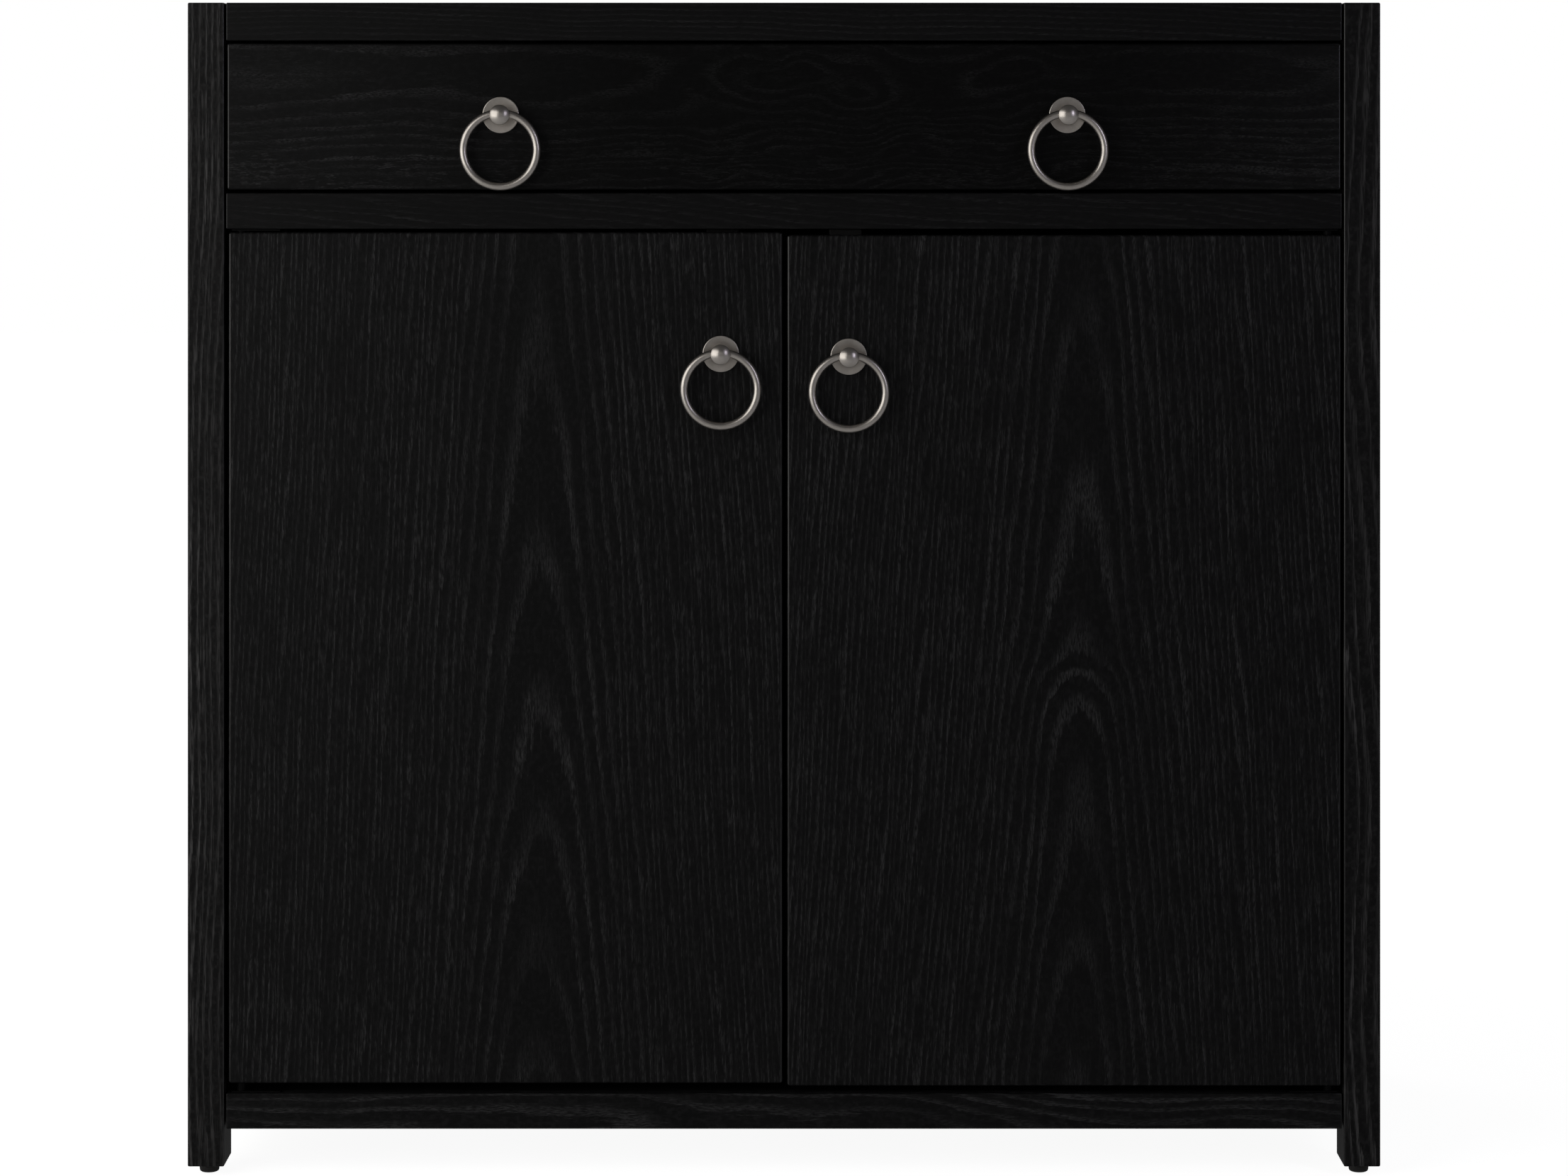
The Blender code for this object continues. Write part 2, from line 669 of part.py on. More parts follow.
clear_scene()
add_legs()
add_side_panels()
add_carcass()
add_shelf()
add_slides(add_drawer())
add_door("left")
add_door("right")
add_catches()
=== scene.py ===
"""The looks of the black oak cabinet: fine boards, turned pulls, procedural materials, light and camera.

Metres, in the CAD frame: +X right, +Y towards the back, +Z up. The front faces -Y.
"""

import json
import math

import bmesh
import bpy
from mathutils import Matrix, Vector


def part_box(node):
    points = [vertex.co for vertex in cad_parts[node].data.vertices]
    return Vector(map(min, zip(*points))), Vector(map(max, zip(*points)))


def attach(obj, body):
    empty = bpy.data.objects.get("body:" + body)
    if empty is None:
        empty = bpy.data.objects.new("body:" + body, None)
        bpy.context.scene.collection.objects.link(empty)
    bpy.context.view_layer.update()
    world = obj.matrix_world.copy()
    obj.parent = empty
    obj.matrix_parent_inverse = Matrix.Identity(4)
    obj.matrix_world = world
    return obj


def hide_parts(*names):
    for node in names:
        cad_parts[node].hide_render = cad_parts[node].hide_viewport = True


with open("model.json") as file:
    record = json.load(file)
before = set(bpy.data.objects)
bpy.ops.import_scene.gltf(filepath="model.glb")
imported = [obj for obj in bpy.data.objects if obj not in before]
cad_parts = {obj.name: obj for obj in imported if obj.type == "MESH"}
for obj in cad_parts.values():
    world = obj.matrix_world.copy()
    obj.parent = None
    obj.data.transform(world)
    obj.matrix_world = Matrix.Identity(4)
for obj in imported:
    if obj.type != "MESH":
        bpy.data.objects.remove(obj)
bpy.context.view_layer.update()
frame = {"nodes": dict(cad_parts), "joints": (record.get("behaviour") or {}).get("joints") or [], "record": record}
NODES = frame["nodes"]
BODIES = frame["record"]["behaviour"]["bodies"]
BODY_OF = {node: body for body, members in BODIES.items() for node in members}
SIDES = {"left": -1, "right": 1}
X, Y, Z = 0, 1, 2

# Boards
EASE_SEGMENTS = 5
LEG_EASE = 0.0012
RAIL_EASE = 0.0009
FRONT_EASE = 0.0019
PANEL_EASE = 0.0006
CLEARANCE = 0.0003

# Pulls: heights are measured out from the face that the pull is fixed to
WIRE_RADIUS = 0.00305
ROSETTE_RIM = 0.0006
NECK_RADIUS = 0.0062
COLLAR_RADIUS = 0.0069
COLLAR_TOP = 0.0040
HEAD_START = 0.0142
HEAD_RADIUS = 0.0077
HEAD_EDGE = 0.0009
DOME_RADIUS = 0.0108
RING_HOLE_RADIUS = 0.0038
RING_HOLE_RISE = 0.0009
SHANK_RADIUS = 0.0020
THREAD_PITCH = 0.0007
THREAD_DEPTH = 0.00025
NUT_RADIUS = 0.0044
NUT_HEIGHT = 0.0026
WASHER_RADIUS = 0.0056
WASHER_THICKNESS = 0.0007

# Hinges and screws
PLATE_THICKNESS = 0.0012
BUSH_RADIUS = 0.0038
PLATE_SCREWS = (0.0135, 0.0245)
SCREW_RADIUS = 0.0024
SCREW_PROUD = 0.0002
BACK_SCREW_RADIUS = 0.0035

# Roundness
RING_STEPS = 128
WIRE_STEPS = 32
TURN_STEPS = 72
SHARP_ANGLE = math.radians(32)


# ---------------------------------------------------------------- materials
class Graph:
    """A material's node tree, with short ways to add and join nodes."""

    def __init__(self, name):
        self.material = bpy.data.materials.new(name)
        self.material.use_nodes = True
        self.nodes = self.material.node_tree.nodes
        self.links = self.material.node_tree.links
        self.shader = self.nodes["Principled BSDF"]
        self.coords = self.nodes.new("ShaderNodeTexCoord").outputs["Object"]

    def put(self, socket, value):
        if isinstance(value, bpy.types.NodeSocket):
            self.links.new(value, socket)
        elif value is not None:
            socket.default_value = value

    def math(self, operation, *values, clamp=False):
        node = self.nodes.new("ShaderNodeMath")
        node.operation = operation
        node.use_clamp = clamp
        for socket, value in zip(node.inputs, values):
            self.put(socket, value)
        return node.outputs[0]

    def vector(self, x, y, z):
        node = self.nodes.new("ShaderNodeCombineXYZ")
        for socket, value in zip(node.inputs, (x, y, z)):
            self.put(socket, value)
        return node.outputs[0]

    def split(self, vector):
        node = self.nodes.new("ShaderNodeSeparateXYZ")
        self.put(node.inputs[0], vector)
        return list(node.outputs)

    def noise(self, vector, scale=1.0, detail=2.0, roughness=0.5, distortion=0.0):
        node = self.nodes.new("ShaderNodeTexNoise")
        self.put(node.inputs["Vector"], vector)
        self.put(node.inputs["Scale"], scale)
        self.put(node.inputs["Detail"], detail)
        self.put(node.inputs["Roughness"], roughness)
        self.put(node.inputs["Distortion"], distortion)
        return node.outputs["Fac"]

    def normal(self):
        return self.split(self.nodes.new("ShaderNodeNewGeometry").outputs["Normal"])

    def white(self, value):
        node = self.nodes.new("ShaderNodeTexWhiteNoise")
        node.noise_dimensions = "1D"
        self.put(node.inputs["W"], value)
        return node.outputs["Value"]

    def scale(self, value, low, high, to_low=0.0, to_high=1.0, smooth=True):
        node = self.nodes.new("ShaderNodeMapRange")
        node.interpolation_type = "SMOOTHSTEP" if smooth else "LINEAR"
        for socket, number in zip(node.inputs, (value, low, high, to_low, to_high)):
            self.put(socket, number)
        return node.outputs[0]

    def climb(self, value, steps):
        """Counts the steps that value has passed, smoothly, and goes on at the end steps' spacing."""
        before, after = 2 * steps[0] - steps[1], 2 * steps[-1] - steps[-2]
        heights = [before, *steps, after]
        node = self.nodes.new("ShaderNodeFloatCurve")
        span = after - before
        self.put(node.inputs["Value"], self.math("DIVIDE", self.math("SUBTRACT", value, before), span))
        curve = node.mapping.curves[0]
        for count, height in enumerate(heights[1:-1], start=1):
            curve.points.new((height - before) / span, count / (len(heights) - 1))
        for point in curve.points:
            point.handle_type = "AUTO_CLAMPED"
        node.mapping.extend = "EXTRAPOLATED"
        node.mapping.use_clip = False
        node.mapping.update()
        return self.math("MULTIPLY", node.outputs[0], len(heights) - 1)

    def mix(self, factor, first, second):
        node = self.nodes.new("ShaderNodeMix")
        node.data_type = "RGBA"
        self.put(node.inputs["Factor"], factor)
        for socket, value in zip((node.inputs[6], node.inputs[7]), (first, second)):
            self.put(socket, (*value, 1.0) if isinstance(value, tuple) else value)
        return node.outputs[2]

    def bump(self, height, distance, strength=1.0, normal=None):
        node = self.nodes.new("ShaderNodeBump")
        self.put(node.inputs["Height"], height)
        self.put(node.inputs["Distance"], distance)
        self.put(node.inputs["Strength"], strength)
        self.put(node.inputs["Normal"], normal)
        return node.outputs[0]

    def set(self, **values):
        """Principled inputs by name, with _ for a space."""
        for name, value in values.items():
            socket = self.shader.inputs[name.replace("_", " ")]
            self.put(socket, (*value, 1.0) if isinstance(value, tuple) else value)
        return self.material


OAK_BASE = (0.0065, 0.0065, 0.0066)
OAK_BAND = (0.040, 0.040, 0.0405)
OAK_DASH = (0.070, 0.070, 0.070)
HEART_DEPTH = 0.086
RING_PERIOD = 0.0042


def oak(name, along, across, heart=0.0, depth=HEART_DEPTH, taper=0.05, arches=None, swirl=0.0, period=RING_PERIOD,
        phase=0.0, wander=0.004, grain=0.0052, streaky=0.62, light=1.0, painted_shade=0.0, base=OAK_BASE, band=OAK_BAND, dash=OAK_DASH,
        origin=(0, 0, 0)):
    """Open-pore oak, as a solid texture of growth rings about a heart line behind the board's face.

    along and across are the board's grain axis and the axis over its face. heart is where the
    figure's middle lies across the board. taper makes arches at an even spacing, arches gives
    their heights instead, and swirl curls the rings near the origin. grain is how long the pale
    fibres are, streaky how much they run on past the rings. light scales the pale wood, and the
    argument after it is painted shade: how much the colour is darkened near the origin, in the
    place of shade from the lighting.
    """
    graph = Graph(name)
    axes = [graph.math("SUBTRACT", value, start) for value, start in zip(graph.split(graph.coords), origin)]
    through = ({X, Y, Z} - {along, across}).pop()
    length, width, deep = axes[along], axes[across], axes[through]

    def stretched(across_size, along_size, seed=0.0):
        values = [None, None, None]
        values[along] = graph.math("DIVIDE", length, along_size)
        values[across] = graph.math("DIVIDE", width, across_size)
        values[through] = graph.math("ADD", graph.math("DIVIDE", deep, across_size), seed + phase * 7.3)
        return graph.vector(*values)

    def shift(across_size, along_size, seed, reach, detail=2.0, fade=None):
        """A smooth random shift of the rings, up to about half of reach either way."""
        noise = graph.noise(stretched(across_size, along_size, seed), detail=detail, roughness=0.55)
        moved = graph.math("MULTIPLY", graph.math("SUBTRACT", noise, 0.5), reach)
        return graph.math("MULTIPLY", moved, fade) if fade else moved

    from_heart = graph.math("SUBTRACT", width, heart)
    from_heart = graph.math("ADD", from_heart, shift(0.35, 0.42, 3.1, 4 * wander, 1.0))
    behind = graph.math("ADD", deep, depth)
    squares = [graph.math("MULTIPLY", value, value) for value in (from_heart, behind)]
    radius = graph.math("SUBTRACT", graph.math("SQRT", graph.math("ADD", *squares)), depth)
    aside = graph.math("ABSOLUTE", from_heart)
    if arches:
        even = (len(arches) - 1) / (arches[-1] - arches[0])
        steady = graph.math("MULTIPLY", graph.math("SUBTRACT", length, arches[0]), even)
        uneven = graph.math("SUBTRACT", graph.climb(length, arches), graph.math("ADD", steady, 1.0))
        near = graph.scale(aside, 0.008, 0.075, 1.0, 0.0)
        climb = graph.math("ADD", steady, graph.math("MULTIPLY", uneven, near))
        climb = graph.math("MULTIPLY", climb, period)
    else:
        climb = graph.math("MULTIPLY", length, taper)
    rings = graph.math("ADD", radius, climb)
    rings = graph.math("ADD", rings, shift(0.09, 0.19, 9.7, wander))
    rings = graph.math("ADD", rings, shift(0.0026, 0.045, 5.3, period * 0.55, 3.0))
    rings = graph.math("ADD", rings, shift(0.0016, 0.009, 7.7, period * 0.24))
    if swirl:
        curl = graph.scale(graph.math("ABSOLUTE", length), 0.05, 0.26, 1.0, 0.12)
        rings = graph.math("ADD", rings, shift(0.045, 0.075, 1.3, swirl, 1.0, curl))
    widths = graph.noise(graph.vector(graph.math("DIVIDE", radius, 0.011), phase * 3.3, 0.0), detail=1.0)
    widths = graph.math("MULTIPLY", graph.math("SUBTRACT", widths, 0.5), graph.scale(aside, 0.015, 0.06, 0.0, 2.4))
    rings = graph.math("ADD", graph.math("ADD", graph.math("DIVIDE", rings, period), widths), 40.0)
    if not arches:
        rings = graph.math("ADD", rings, phase)
    turn = graph.math("FRACT", rings)
    early = graph.math("MULTIPLY", graph.scale(turn, 0.0, 0.09), graph.scale(turn, 0.18, 0.58, 1.0, 0.0))
    vigour = graph.scale(graph.white(graph.math("FLOOR", rings)), 0.0, 1.0, 0.45, 1.0, smooth=False)
    patch = graph.noise(stretched(grain * 5, grain * 13, 1.9), detail=3.0, roughness=0.6)
    patch = graph.scale(patch, 0.32, 0.64, 0.40, 1.0)
    early = graph.math("MULTIPLY", early, graph.math("MULTIPLY", vigour, patch))

    fibres = graph.noise(stretched(0.0007, grain, 8.8), detail=2.0, roughness=0.6)
    hairs = graph.noise(stretched(0.0015, grain * 3.4, 4.4), detail=2.0, roughness=0.6)
    cloud = graph.noise(stretched(0.012, 0.03, 6.6), detail=3.0)
    mottle = graph.noise(stretched(0.0035, 0.005, 2.2), detail=3.0, roughness=0.6)
    streaks = graph.math("MULTIPLY", early, graph.scale(fibres, 0.36, 0.62, 0.16, 1.25))
    run_on = graph.math("MULTIPLY", graph.scale(hairs, 0.52, 0.64), graph.scale(cloud, 0.42, 0.60, 0.12, 1.0))
    run_on = graph.math("MULTIPLY", run_on, graph.scale(aside, 0.02, 0.08, 0.30, 1.0))
    run_on = graph.math("MULTIPLY", run_on, graph.scale(fibres, 0.36, 0.62, 0.4 * streaky, 1.3 * streaky))
    faint = graph.math("MAXIMUM", run_on, graph.scale(mottle, 0.42, 0.72, 0.0, 0.16))
    streaks = graph.math("MULTIPLY", graph.math("MAXIMUM", streaks, faint), light, clamp=True)
    dashes = graph.math("SUBTRACT", fibres, graph.math("SUBTRACT", 0.70, graph.math("MULTIPLY", early, 0.10)))
    dashes = graph.math("MULTIPLY", graph.math("MULTIPLY", dashes, 6.0, clamp=True), 0.8 * light, clamp=True)
    tone = graph.mix(dashes, graph.mix(streaks, base, band), dash)
    pores = graph.scale(graph.noise(stretched(0.0010, grain * 1.4, 12.6), detail=2.0), 0.52, 0.66, 0.0, 0.75)
    open_wood = graph.math("MAXIMUM", early, graph.math("MULTIPLY", run_on, 0.5))
    tone = graph.mix(graph.math("MULTIPLY", pores, open_wood), tone, (0.0, 0.0, 0.0))
    # painted shade: the colour is darkened near the origin, standing in for shade from the lighting
    if painted_shade:
        tone = graph.mix(graph.scale(graph.math("ABSOLUTE", length), 0.16, 0.42, painted_shade, 0.0), tone, (0.0, 0.0, 0.0))
    rough = graph.math("ADD", graph.scale(fibres, 0.3, 0.7, 0.36, 0.48), graph.math("MULTIPLY", early, 0.12))
    relief = graph.math("SUBTRACT", graph.math("MULTIPLY", fibres, 0.3), graph.math("MULTIPLY", streaks, 0.8))
    turned = graph.math("ABSOLUTE", graph.normal()[X])
    polish = graph.math("MULTIPLY", graph.scale(turned, 0.06, 0.30, 0.0, 0.9), graph.scale(turned, 0.80, 0.97, 1.0, 0.0))
    return graph.set(
        Base_Color=tone,
        Roughness=rough,
        Specular_IOR_Level=0.10,
        Coat_Weight=polish,
        Coat_Roughness=0.22,
        Normal=graph.bump(relief, 0.00012),
    )


def satin_nickel():
    """Satin nickel plate: fine random scratches, a soft tint and a little tarnish."""
    graph = Graph("satin_nickel")
    grain = graph.noise(graph.coords, 1400.0, detail=2.0, roughness=0.6)
    cloud = graph.noise(graph.coords, 160.0, detail=3.0)
    colour = graph.mix(graph.scale(cloud, 0.35, 0.7), (0.70, 0.655, 0.605), (0.61, 0.57, 0.525))
    rough = graph.math("ADD", graph.scale(cloud, 0.3, 0.7, 0.29, 0.32), graph.math("MULTIPLY", grain, 0.02))
    return graph.set(Base_Color=colour, Metallic=1.0, Roughness=rough)


def zinc_steel():
    graph = Graph("zinc_steel")
    cloud = graph.noise(graph.coords, 220.0, detail=3.0)
    stretched = [graph.math("MULTIPLY", value, size) for value, size in zip(graph.split(graph.coords), (2200, 40, 2200))]
    lines = graph.noise(graph.vector(*stretched))
    colour = graph.mix(cloud, (0.26, 0.265, 0.275), (0.36, 0.365, 0.375))
    rough = graph.scale(lines, 0.3, 0.7, 0.28, 0.42)
    return graph.set(Base_Color=colour, Metallic=1.0, Roughness=rough, Normal=graph.bump(lines, 0.00001, 0.4))


def black_steel():
    graph = Graph("black_steel")
    cloud = graph.noise(graph.coords, 400.0, detail=4.0)
    colour = graph.mix(graph.scale(cloud, 0.55, 0.75), (0.0015, 0.0015, 0.0016), (0.006, 0.0057, 0.0054))
    rough = graph.scale(cloud, 0.3, 0.7, 0.45, 0.6)
    return graph.set(
        Base_Color=colour,
        Roughness=rough,
        Specular_IOR_Level=0.08,
        Normal=graph.bump(cloud, 0.00002, 0.4),
    )


def moulded_plastic(name, colour, shade):
    graph = Graph(name)
    sparkle = graph.noise(graph.coords, 3000.0, detail=2.0)
    cloud = graph.noise(graph.coords, 120.0, detail=2.0)
    tone = graph.mix(cloud, colour, shade)
    rough = graph.scale(sparkle, 0.3, 0.7, 0.50, 0.66)
    return graph.set(Base_Color=tone, Roughness=rough, Normal=graph.bump(sparkle, 0.00003, 0.6))


# ---------------------------------------------------------------- geometry
def add_piece(name, bm, material, body, smooth=False):
    bmesh.ops.recalc_face_normals(bm, faces=bm.faces)
    mesh = bpy.data.meshes.new(name)
    bm.to_mesh(mesh)
    bm.free()
    obj = bpy.data.objects.new(name, mesh)
    bpy.context.scene.collection.objects.link(obj)
    mesh.materials.append(material)
    if smooth:
        mesh.shade_smooth()
        mesh.set_sharp_from_angle(angle=SHARP_ANGLE)
    if body:
        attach(obj, body)
    return obj


def box_mesh(low, high):
    bm = bmesh.new()
    bmesh.ops.create_cube(bm, size=1.0)
    bmesh.ops.scale(bm, vec=Vector(high) - Vector(low), verts=bm.verts)
    bmesh.ops.translate(bm, vec=(Vector(high) + Vector(low)) / 2, verts=bm.verts)
    return bm


def fine_board(node, material, ease):
    """A board in the place of a CAD board, with softly rounded edges."""
    low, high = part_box(node)
    board = add_piece(f"{node}_fine", box_mesh(low, high), material, BODY_OF[node], smooth=True)
    bevel = board.modifiers.new("ease", "BEVEL")
    bevel.width = ease
    bevel.segments = EASE_SEGMENTS
    bevel.harden_normals = True
    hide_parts(node)
    return board


def turned_mesh(profile, steps=TURN_STEPS, closed=False):
    """Spins a profile of (radius, height) points about Z."""
    bm = bmesh.new()
    points = [bm.verts.new((radius, 0, height)) for radius, height in profile]
    edges = [bm.edges.new(pair) for pair in zip(points, points[1:])]
    if closed:
        edges.append(bm.edges.new((points[-1], points[0])))
    bmesh.ops.spin(
        bm,
        geom=points + edges,
        cent=(0, 0, 0),
        axis=(0, 0, 1),
        angle=2 * math.pi,
        steps=steps,
        use_merge=True,
    )
    bmesh.ops.remove_doubles(bm, verts=bm.verts, dist=1e-6)
    return bm


def arc(centre, radius, start, end, count):
    """Points on an arc in the (radius, height) plane, angles in degrees from the radius axis."""
    steps = [math.radians(start + (end - start) * i / count) for i in range(count + 1)]
    return [(centre[0] + radius * math.cos(t), centre[1] + radius * math.sin(t)) for t in steps]


def torus_mesh(radius, wire, steps=RING_STEPS, wire_steps=WIRE_STEPS):
    """A ring in the XZ plane about the origin."""
    bm = bmesh.new()
    turns = [2 * math.pi * i / wire_steps for i in range(wire_steps)]
    points = [bm.verts.new((radius + wire * math.cos(t), wire * math.sin(t), 0)) for t in turns]
    edges = [bm.edges.new((points[i - 1], points[i])) for i in range(wire_steps)]
    bmesh.ops.spin(
        bm,
        geom=points + edges,
        cent=(0, 0, 0),
        axis=(0, 1, 0),
        angle=2 * math.pi,
        steps=steps,
        use_merge=True,
    )
    return bm


def face_front(bm, place):
    """Turns a mesh's +Z to -Y and moves it to a place."""
    turn = Matrix.Translation(place) @ Matrix.Rotation(math.radians(90), 4, "X")
    bmesh.ops.transform(bm, matrix=turn, verts=bm.verts)
    return bm


def centre_of(node):
    low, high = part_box(node)
    return (low + high) / 2


def new_object(name, bm):
    bmesh.ops.recalc_face_normals(bm, faces=bm.faces)
    mesh = bpy.data.meshes.new(name)
    bm.to_mesh(mesh)
    bm.free()
    obj = bpy.data.objects.new(name, mesh)
    bpy.context.scene.collection.objects.link(obj)
    return obj


def cut(obj, meshes, operation="DIFFERENCE"):
    """Cuts closed meshes out of a piece, or keeps what it shares with them, and applies its modifiers."""
    cutters = [new_object("cutter", bm) for bm in meshes]
    for number, cutter in enumerate(cutters):
        boolean = obj.modifiers.new(f"cut_{number}", "BOOLEAN")
        boolean.object = cutter
        boolean.operation = operation
        boolean.solver = "EXACT"
    bpy.context.view_layer.update()
    evaluated = obj.evaluated_get(bpy.context.evaluated_depsgraph_get())
    obj.data = bpy.data.meshes.new_from_object(evaluated)
    obj.modifiers.clear()
    obj.data.shade_smooth()
    obj.data.set_sharp_from_angle(angle=SHARP_ANGLE)
    flatten = obj.modifiers.new("flat_faces", "WEIGHTED_NORMAL")
    flatten.keep_sharp = True
    flatten.weight = 100
    for cutter in cutters:
        bpy.data.objects.remove(cutter)
    return obj


def rod_mesh(centre, radius, length, axis="Z", steps=48):
    """A closed round rod about a point, for cutting bores."""
    half = length / 2
    bm = turned_mesh([(0, -half), (radius, -half), (radius, half), (0, half)], steps)
    turns = {"X": Matrix.Rotation(math.radians(90), 4, "Y"), "Y": Matrix.Rotation(math.radians(90), 4, "X")}
    turn = turns.get(axis, Matrix.Identity(4))
    bmesh.ops.transform(bm, matrix=Matrix.Translation(centre) @ turn, verts=bm.verts)
    return bm


def paint(node, material):
    materials = NODES[node].data.materials
    materials.clear()
    materials.append(material)


# ---------------------------------------------------------------- pulls
def rosette_profile(radius, thickness):
    """A flat disc with a rounded foot, a fine raised rim and a slightly sunk face."""
    foot, rim = ROSETTE_RIM * 0.4, ROSETTE_RIM
    sunk = thickness - rim * 0.14
    return [
        (SHANK_RADIUS + rim, 0),
        (radius - foot, 0),
        *arc((radius - foot, foot), foot, -90, 0, 3),
        *arc((radius - rim, thickness - rim), rim, 0, 90, 6),
        (radius - rim * 1.7, sunk),
        (SHANK_RADIUS + rim, sunk),
    ]


def shank_profile(reach, end):
    """The threaded end of a stud, from its tip to the back of the front it goes through."""
    profile = [(0, -reach), (SHANK_RADIUS - THREAD_DEPTH * 2, -reach)]
    height = -reach + THREAD_PITCH
    while height < end:
        profile += [(SHANK_RADIUS - THREAD_DEPTH, height - THREAD_PITCH / 2), (SHANK_RADIUS, height)]
        height += THREAD_PITCH
    return profile


def head_profile(projection):
    """A thin round head with a shallow dome, which meets its rounded edge without a crease."""
    tangent = math.asin((HEAD_RADIUS - HEAD_EDGE) / (DOME_RADIUS - HEAD_EDGE))
    dome_centre = projection - DOME_RADIUS
    edge_height = dome_centre + (DOME_RADIUS - HEAD_EDGE) * math.cos(tangent)
    lower = HEAD_EDGE * 0.4
    return [
        *arc((HEAD_RADIUS - lower, HEAD_START + lower), lower, -90, 0, 4),
        *arc((HEAD_RADIUS - HEAD_EDGE, edge_height), HEAD_EDGE, 0, 90 - math.degrees(tangent), 8),
        *arc((0, dome_centre), DOME_RADIUS, 90 - math.degrees(tangent), 90, 12)[1:],
    ]


def add_stud(name, face, base, nickel, body):
    stud_low, stud_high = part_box(f"{name}_pull_stud")
    ring_low, ring_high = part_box(f"{name}_pull_ring")
    back = -(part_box(f"{name}_pull_nut")[0].y - face.y)
    profile = shank_profile(stud_high.y - face.y, back)
    profile += [
        (SHANK_RADIUS, back),
        (SHANK_RADIUS, base),
        (COLLAR_RADIUS, base),
        *arc((COLLAR_RADIUS - 0.0004, COLLAR_TOP - 0.0004), 0.0004, 0, 90, 4),
        (NECK_RADIUS, COLLAR_TOP + 0.0003),
        (NECK_RADIUS, HEAD_START - 0.0005),
        *arc((NECK_RADIUS + 0.0005, HEAD_START - 0.0005), 0.0005, 180, 90, 4),
        *head_profile(face.y - stud_low.y),
    ]
    stud = add_piece(f"{name}_stud", face_front(turned_mesh(profile), face), nickel, body, True)
    hole = Vector((face.x, (ring_low.y + ring_high.y) / 2, face.z + RING_HOLE_RISE))
    cut(stud, [rod_mesh(hole, RING_HOLE_RADIUS, HEAD_RADIUS * 4, "X")])
    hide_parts(f"{name}_pull_stud")


def add_nut(name, face, steel, body):
    """A chamfered hexagon nut on a plain washer, behind the front."""
    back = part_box(f"{name}_pull_nut")[0].y - CLEARANCE * 0.7
    washer_top = back + WASHER_THICKNESS
    inner = SHANK_RADIUS + 0.0002
    profile = [(inner, 0), (WASHER_RADIUS, 0), *arc((WASHER_RADIUS - 0.0002, 0.0005), 0.0002, 0, 90, 3),
               (inner, WASHER_THICKNESS)]
    turn = Matrix.Rotation(math.radians(-90), 4, "X")
    washer_mesh = turned_mesh(profile, closed=True)
    bmesh.ops.transform(washer_mesh, matrix=Matrix.Translation((face.x, back, face.z)) @ turn, verts=washer_mesh.verts)
    washer = add_piece(f"{name}_washer", washer_mesh, steel, body, True)
    chamfer = NUT_RADIUS * 0.13
    profile = [(inner, 0), (NUT_RADIUS - chamfer * 1.7, 0), (NUT_RADIUS, chamfer),
               (NUT_RADIUS, NUT_HEIGHT - chamfer), (NUT_RADIUS - chamfer * 1.7, NUT_HEIGHT), (inner, NUT_HEIGHT)]
    nut_mesh = turned_mesh(profile, closed=True)
    place = Matrix.Translation((face.x, washer_top, face.z)) @ turn
    bmesh.ops.transform(nut_mesh, matrix=place, verts=nut_mesh.verts)
    nut = add_piece(f"{name}_nut", nut_mesh, steel, body, True)
    hexagon = turned_mesh([(0, -0.001), (NUT_RADIUS, -0.001), (NUT_RADIUS, 0.004), (0, 0.004)], 6)
    bmesh.ops.transform(hexagon, matrix=place, verts=hexagon.verts)
    cut(nut, [hexagon], "INTERSECT")
    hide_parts(f"{name}_pull_nut")


def add_ring_pull(name, nickel, steel):
    rosette_low, rosette_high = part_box(f"{name}_pull_rosette")
    ring_low, ring_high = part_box(f"{name}_pull_ring")
    middle = (rosette_low + rosette_high) / 2
    face = Vector((middle.x, rosette_high.y, middle.z))
    thickness = rosette_high.y - rosette_low.y
    radius = (rosette_high.z - rosette_low.z) / 2
    body = BODY_OF[f"{name}_pull_stud"]

    bm = turned_mesh(rosette_profile(radius, thickness), TURN_STEPS * 2, closed=True)
    rosette = add_piece(f"{name}_rosette", face_front(bm, face), nickel, body, True)
    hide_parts(f"{name}_pull_rosette")
    add_stud(name, face, thickness, nickel, body)
    add_nut(name, face, steel, body)

    bm = torus_mesh((ring_high.x - ring_low.x) / 2 - WIRE_RADIUS, WIRE_RADIUS)
    bmesh.ops.translate(bm, vec=(ring_low + ring_high) / 2, verts=bm.verts)
    ring = add_piece(f"{name}_ring", bm, nickel, BODY_OF[f"{name}_pull_ring"], True)
    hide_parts(f"{name}_pull_ring")


# ---------------------------------------------------------------- boards and their hardware
def grown(low, high, extra=CLEARANCE):
    margin = Vector((extra, extra, extra))
    return box_mesh(low - margin, high + margin)


def bush_recesses(side):
    """What a door's edges lose to its two hinge bushes: the plates' recesses and the bushes' pockets."""
    meshes = []
    for end, inward in (("top", -1), ("bottom", 1)):
        low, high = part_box(f"{side}_door_{end}_bush")
        pivot = hinge_axis(side)
        edge = high.z if inward < 0 else low.z
        meshes.append(rod_mesh((pivot.x, pivot.y, edge), BUSH_RADIUS + CLEARANCE, 2 * (high.z - low.z + CLEARANCE)))
        inner = edge + inward * PLATE_THICKNESS
        low.z, high.z = sorted((inner, edge - inward * 4 * CLEARANCE))
        meshes.append(grown(low, high))
    return meshes


def hinge_axis(side):
    joint = next(joint for joint in frame["joints"] if joint["name"] == f"{side}_door_hinge")
    return Vector(joint["pos_m"])


def shank_bore(name):
    stud_low, stud_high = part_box(f"{name}_pull_stud")
    centre = (stud_low + stud_high) / 2
    return rod_mesh(centre, SHANK_RADIUS + CLEARANCE, 2 * (stud_high.y - stud_low.y), "Y")


